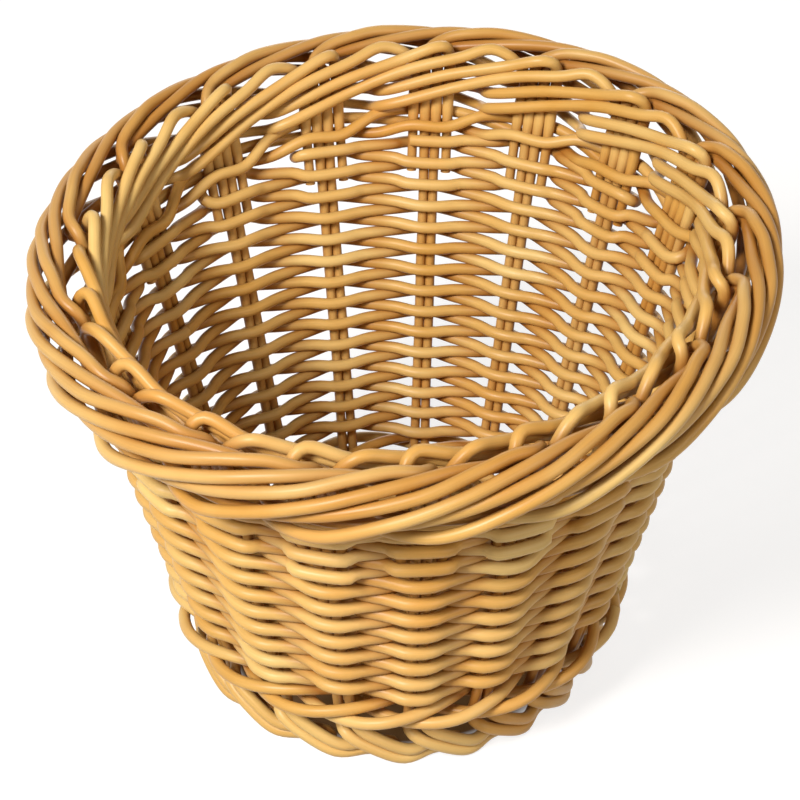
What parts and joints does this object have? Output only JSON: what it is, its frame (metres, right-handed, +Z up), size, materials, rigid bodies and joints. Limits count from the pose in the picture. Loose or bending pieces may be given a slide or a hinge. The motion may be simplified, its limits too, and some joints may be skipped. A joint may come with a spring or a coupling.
{
  "type": "fruit basket",
  "caption": "Round open fruit basket woven from stiff cane-like rods, with a flared wall, a slanted mouth and a thick rolled border, for holding and showing fruit.",
  "frame": {"origin": "on the ground under the centre of the basket's outer box; the foot's own middle lies 4.8 mm towards -Y of it", "axes": "+Z up, -Y towards the low side of the slanted mouth, +Y towards the high side"},
  "size_m": [0.2868, 0.2866, 0.2166],
  "materials": {
    "honey_rod": "satin",
    "pale_weaver": "satin"
  },
  "bodies": {
    "root": {"base_stick_1": "honey_rod", "base_stick_2": "honey_rod", "base_stick_3": "honey_rod", "base_stick_4": "honey_rod", "base_stick_5": "honey_rod", "base_stick_6": "honey_rod", "base_stick_7": "honey_rod", "base_stick_8": "honey_rod", "base_weave": "pale_weaver", "foot_wale_1": "honey_rod", "foot_wale_2": "honey_rod", "foot_wale_3": "honey_rod", "foot_wale_4": "honey_rod", "packing_weaver": "pale_weaver", "stake_pair_01": "honey_rod", "stake_pair_02": "honey_rod", "stake_pair_03": "honey_rod", "stake_pair_04": "honey_rod", "stake_pair_05": "honey_rod", "stake_pair_06": "honey_rod", "stake_pair_07": "honey_rod", "stake_pair_08": "honey_rod", "stake_pair_09": "honey_rod", "stake_pair_10": "honey_rod", "stake_pair_11": "honey_rod", "stake_pair_12": "honey_rod", "stake_pair_13": "honey_rod", "stake_pair_14": "honey_rod", "stake_pair_15": "honey_rod", "stake_pair_16": "honey_rod", "stake_pair_17": "honey_rod", "stake_pair_18": "honey_rod", "upper_wale_1": "pale_weaver", "upper_wale_2": "pale_weaver", "upper_wale_3": "pale_weaver", "weaver_a_1": "pale_weaver", "weaver_a_2": "pale_weaver", "weaver_a_3": "pale_weaver", "weaver_a_4": "pale_weaver", "weaver_b_1": "pale_weaver", "weaver_b_2": "pale_weaver", "weaver_b_3": "pale_weaver", "weaver_b_4": "pale_weaver"}
  },
  "joints": []
}
